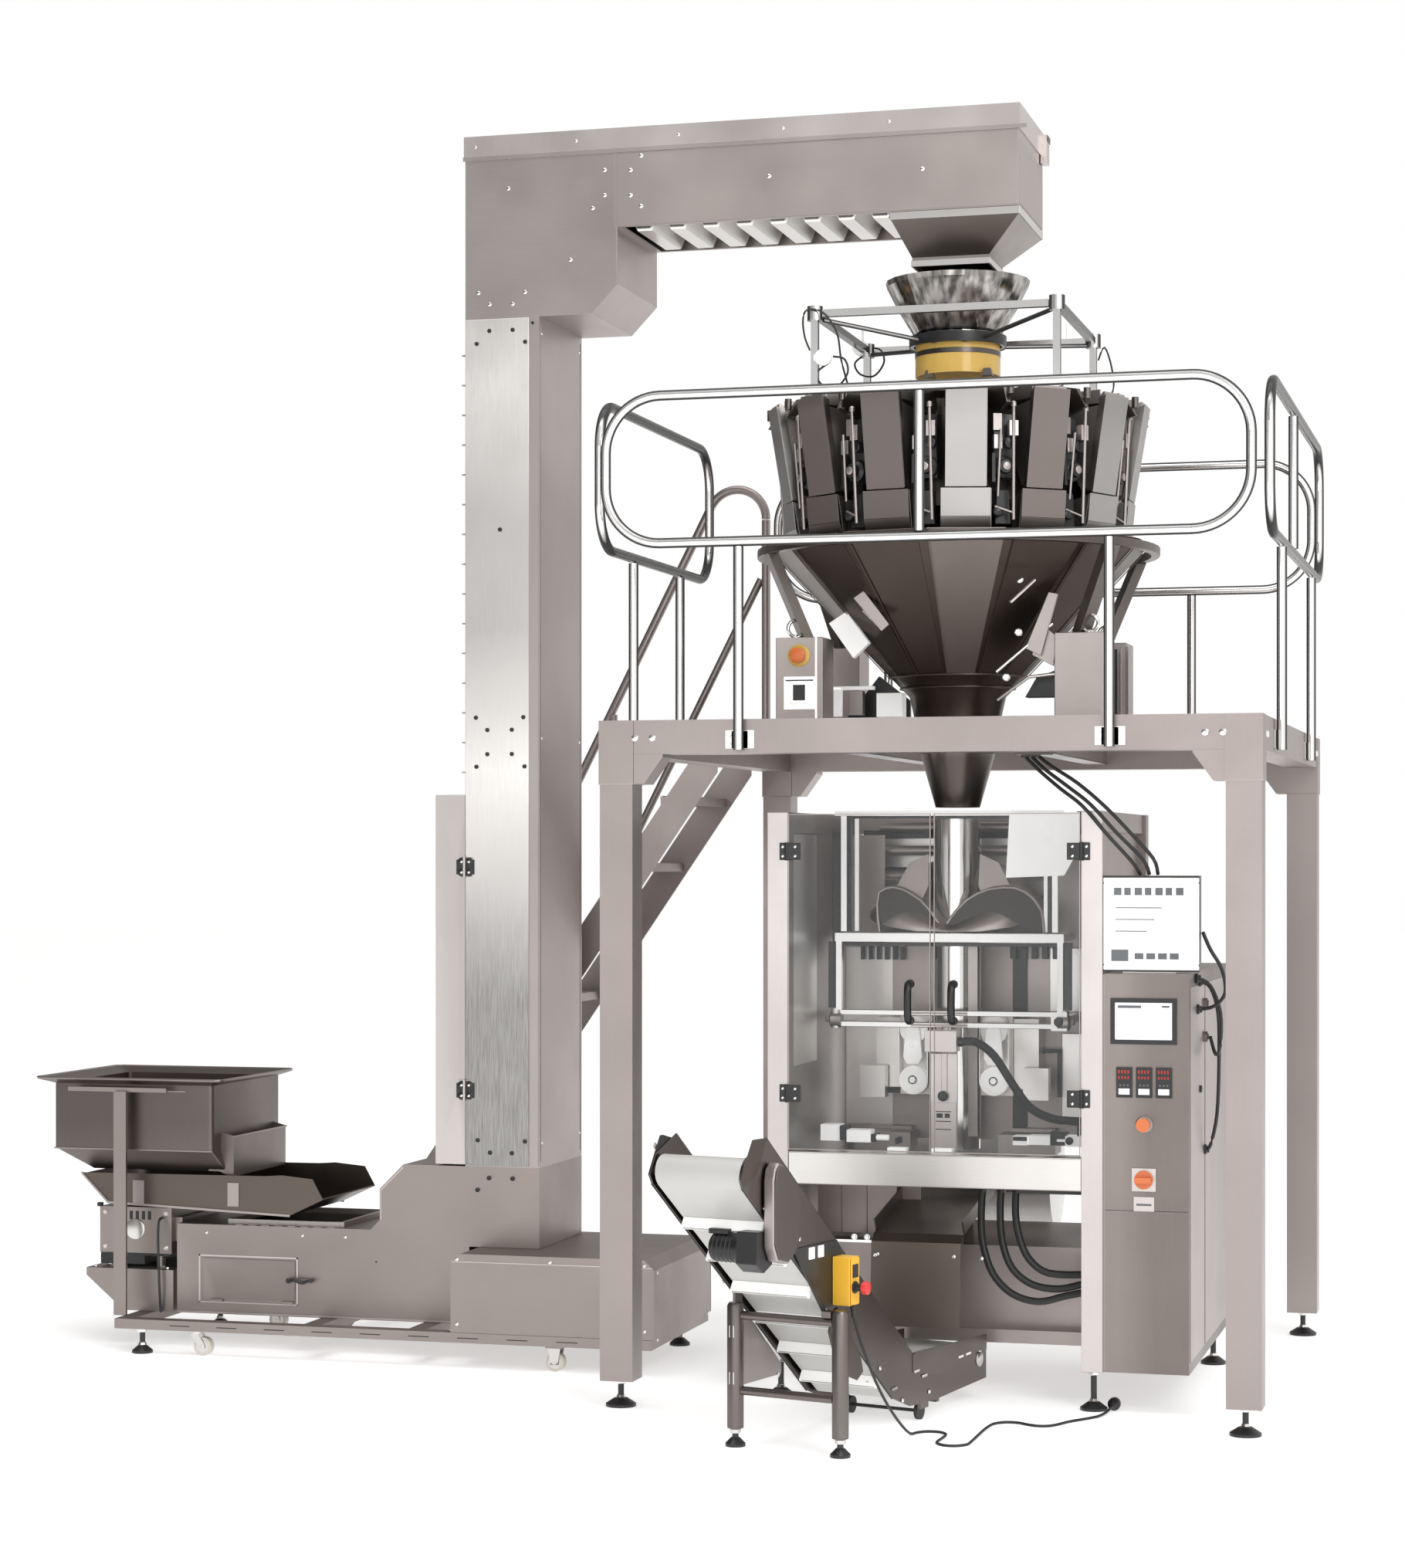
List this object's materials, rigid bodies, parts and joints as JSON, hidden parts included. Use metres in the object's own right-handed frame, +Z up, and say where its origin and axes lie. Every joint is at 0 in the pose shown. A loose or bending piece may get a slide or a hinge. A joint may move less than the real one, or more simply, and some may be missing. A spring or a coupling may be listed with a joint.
{
  "type": "vertical form fill sealer line",
  "caption": "Vertical bag-making packing line: bucket elevator with vibratory feeder, multihead weigher on a railed platform, form-fill-seal bagger and take-off conveyor.",
  "frame": {"origin": "middle of the whole line's footprint, on the floor", "axes": "+X to the right seen from the operator's side (feeder to bag maker), +Y away from the operator, +Z up"},
  "size_m": [4.135, 3.1026, 3.94],
  "materials": {
    "housing_steel": "satin",
    "bright_steel": "satin",
    "dark_steel": "gloss",
    "belt_plastic": "satin",
    "wheel_plastic": "satin",
    "black_rubber": "matte",
    "black_plastic": "satin",
    "motor_paint": "satin",
    "amber_plastic": "gloss",
    "clear_acrylic": "gloss",
    "button_orange": "gloss",
    "button_red": "gloss",
    "switch_yellow": "satin",
    "display_white": "satin",
    "film": "gloss"
  },
  "bodies": {
    "line": {"elevator_base": "housing_steel", "elevator_lower_housing": "housing_steel", "elevator_column": "housing_steel", "elevator_head": "housing_steel", "head_lid": "housing_steel", "elevator_chute": "housing_steel", "bucket_chain": "bright_steel", "gearmotor": "motor_paint", "feeder_hopper": "housing_steel", "feeder_drive": "housing_steel", "platform_frame": "housing_steel", "platform_deck": "housing_steel", "guardrails": "bright_steel", "stairs": "housing_steel", "weigher_body": "housing_steel", "feed_hoppers": "bright_steel", "weigh_hoppers": "bright_steel", "collecting_chute": "dark_steel", "discharge_funnel": "dark_steel", "infeed_funnel": "dark_steel", "infeed_sleeve": "amber_plastic", "sensor_frame": "bright_steel", "bagger_frame": "housing_steel", "control_cabinet": "housing_steel", "panel_fittings": "black_plastic", "weigher_display": "display_white", "forming_tube": "bright_steel", "forming_collar": "dark_steel", "pull_belts": "bright_steel", "bag_chute": "dark_steel", "cables": "black_rubber", "conveyor_frame": "housing_steel", "conveyor_belt": "belt_plastic", "conveyor_motor": "black_plastic", "switch_box": "switch_yellow", "conveyor_cord": "black_rubber", "conveyor_plug": "black_plastic", "levelling_feet": "black_plastic"},
    "hatch": {"trough_hatch": "housing_steel"},
    "column_cover": {"column_door": "housing_steel"},
    "fork_front": {"caster_fork_front": "bright_steel"},
    "fork_back": {"caster_fork_back": "bright_steel"},
    "wheel_1": {"caster_wheel_1": "wheel_plastic"},
    "wheel_2": {"caster_wheel_2": "wheel_plastic"},
    "wheel_3": {"caster_wheel_3": "wheel_plastic"},
    "wheel_4": {"caster_wheel_4": "wheel_plastic"},
    "tray": {"feeder_tray": "housing_steel"},
    "stop_push": {"stop_button": "button_orange"},
    "main_switch": {"power_switch": "button_orange"},
    "door_left": {"left_door": "clear_acrylic"},
    "door_right": {"right_door": "clear_acrylic"},
    "pulley_left": {"left_pulley": "belt_plastic"},
    "pulley_right": {"right_pulley": "belt_plastic"},
    "seal_bar": {"vertical_sealer": "housing_steel"},
    "jaw_front": {"front_jaw": "bright_steel"},
    "jaw_rear": {"rear_jaw": "bright_steel"},
    "roll": {"film_roll": "film"},
    "head_drum": {"conveyor_drum": "bright_steel"},
    "tail_wheels": {"conveyor_wheels": "black_rubber"},
    "conveyor_push": {"conveyor_stop_button": "button_red"}
  },
  "joints": [
    {"name": "hatch_hinge", "type": "hinge", "parent": "line", "child": "hatch", "pos_m": [-1.3375, 0.21035, 0.16], "axis": [1, 0, 0], "range_deg": [0, 90]},
    {"name": "column_door_hinge", "type": "hinge", "parent": "line", "child": "column_cover", "pos_m": [-0.5795, 0.20735, 1.2], "axis": [0, 0, 1], "range_deg": [0, 110]},
    {"name": "caster_swivel_front", "type": "hinge", "parent": "line", "child": "fork_front", "pos_m": [-1.4505, 0.06635, 0.075], "axis": [0, 0, 1], "continuous": true},
    {"name": "caster_swivel_back", "type": "hinge", "parent": "line", "child": "fork_back", "pos_m": [-1.4505, 0.68635, 0.075], "axis": [0, 0, 1], "continuous": true},
    {"name": "wheel_spin_1", "type": "hinge", "parent": "fork_front", "child": "wheel_1", "pos_m": [-1.4245, 0.06635, 0.03], "axis": [0, 1, 0], "continuous": true},
    {"name": "wheel_spin_2", "type": "hinge", "parent": "fork_back", "child": "wheel_2", "pos_m": [-1.4245, 0.68635, 0.03], "axis": [0, 1, 0], "continuous": true},
    {"name": "wheel_spin_3", "type": "hinge", "parent": "line", "child": "wheel_3", "pos_m": [-0.2225, 0.06635, 0.03], "axis": [0, 1, 0], "continuous": true},
    {"name": "wheel_spin_4", "type": "hinge", "parent": "line", "child": "wheel_4", "pos_m": [-0.2225, 0.68635, 0.03], "axis": [0, 1, 0], "continuous": true},
    {"name": "tray_vibration", "type": "slide", "parent": "line", "child": "tray", "axis": [1, 0, 0], "range_m": [-0.002, 0.002], "stiffness_N_per_m": 60000},
    {"name": "stop_press", "type": "slide", "parent": "line", "child": "stop_push", "axis": [0, 1, 0], "range_m": [0, 0.006], "stiffness_N_per_m": 900},
    {"name": "power_turn", "type": "hinge", "parent": "line", "child": "main_switch", "pos_m": [1.6655, -0.24365, 0.682], "axis": [0, 1, 0], "range_deg": [0, 90]},
    {"name": "left_door_hinge", "type": "hinge", "parent": "line", "child": "door_left", "pos_m": [0.6005, -0.23665, 1.247], "axis": [0, 0, -1], "range_deg": [0, 110]},
    {"name": "right_door_hinge", "type": "hinge", "parent": "line", "child": "door_right", "pos_m": [1.4845, -0.23665, 1.247], "axis": [0, 0, 1], "range_deg": [0, 100]},
    {"name": "left_pulley_spin", "type": "hinge", "parent": "line", "child": "pulley_left", "pos_m": [0.862, 0.38785, 0.918], "axis": [0, 1, 0], "continuous": true},
    {"name": "right_pulley_spin", "type": "hinge", "parent": "line", "child": "pulley_right", "pos_m": [1.119, 0.38785, 0.918], "axis": [0, 1, 0], "continuous": true},
    {"name": "sealer_stroke", "type": "slide", "parent": "line", "child": "seal_bar", "axis": [0, 1, 0], "range_m": [-0.05, 0.004]},
    {"name": "front_jaw_stroke", "type": "slide", "parent": "line", "child": "jaw_front", "axis": [0, 1, 0], "range_m": [0, 0.038]},
    {"name": "rear_jaw_stroke", "type": "slide", "parent": "line", "child": "jaw_rear", "axis": [0, -1, 0], "range_m": [0, 0.038]},
    {"name": "film_roll_spin", "type": "hinge", "parent": "line", "child": "roll", "pos_m": [0.9905, 0.99635, 0.56], "axis": [1, 0, 0], "continuous": true},
    {"name": "drum_spin", "type": "hinge", "parent": "line", "child": "head_drum", "pos_m": [0.67646, -1.4399, 0.792], "axis": [0.9659, -0.2588, 0], "continuous": true},
    {"name": "tail_wheel_spin", "type": "hinge", "parent": "line", "child": "tail_wheels", "pos_m": [0.94498, -0.44551, 0.025], "axis": [0.9659, -0.2588, 0], "continuous": true},
    {"name": "conveyor_stop_press", "type": "slide", "parent": "line", "child": "conveyor_push", "axis": [-0.9659, 0.2588, 0], "range_m": [0, 0.005], "stiffness_N_per_m": 900}
  ],
  "couplings": [
    {"joint": "right_pulley_spin", "follows": "left_pulley_spin", "ratio": -1},
    {"joint": "rear_jaw_stroke", "follows": "front_jaw_stroke", "ratio": 1}
  ]
}
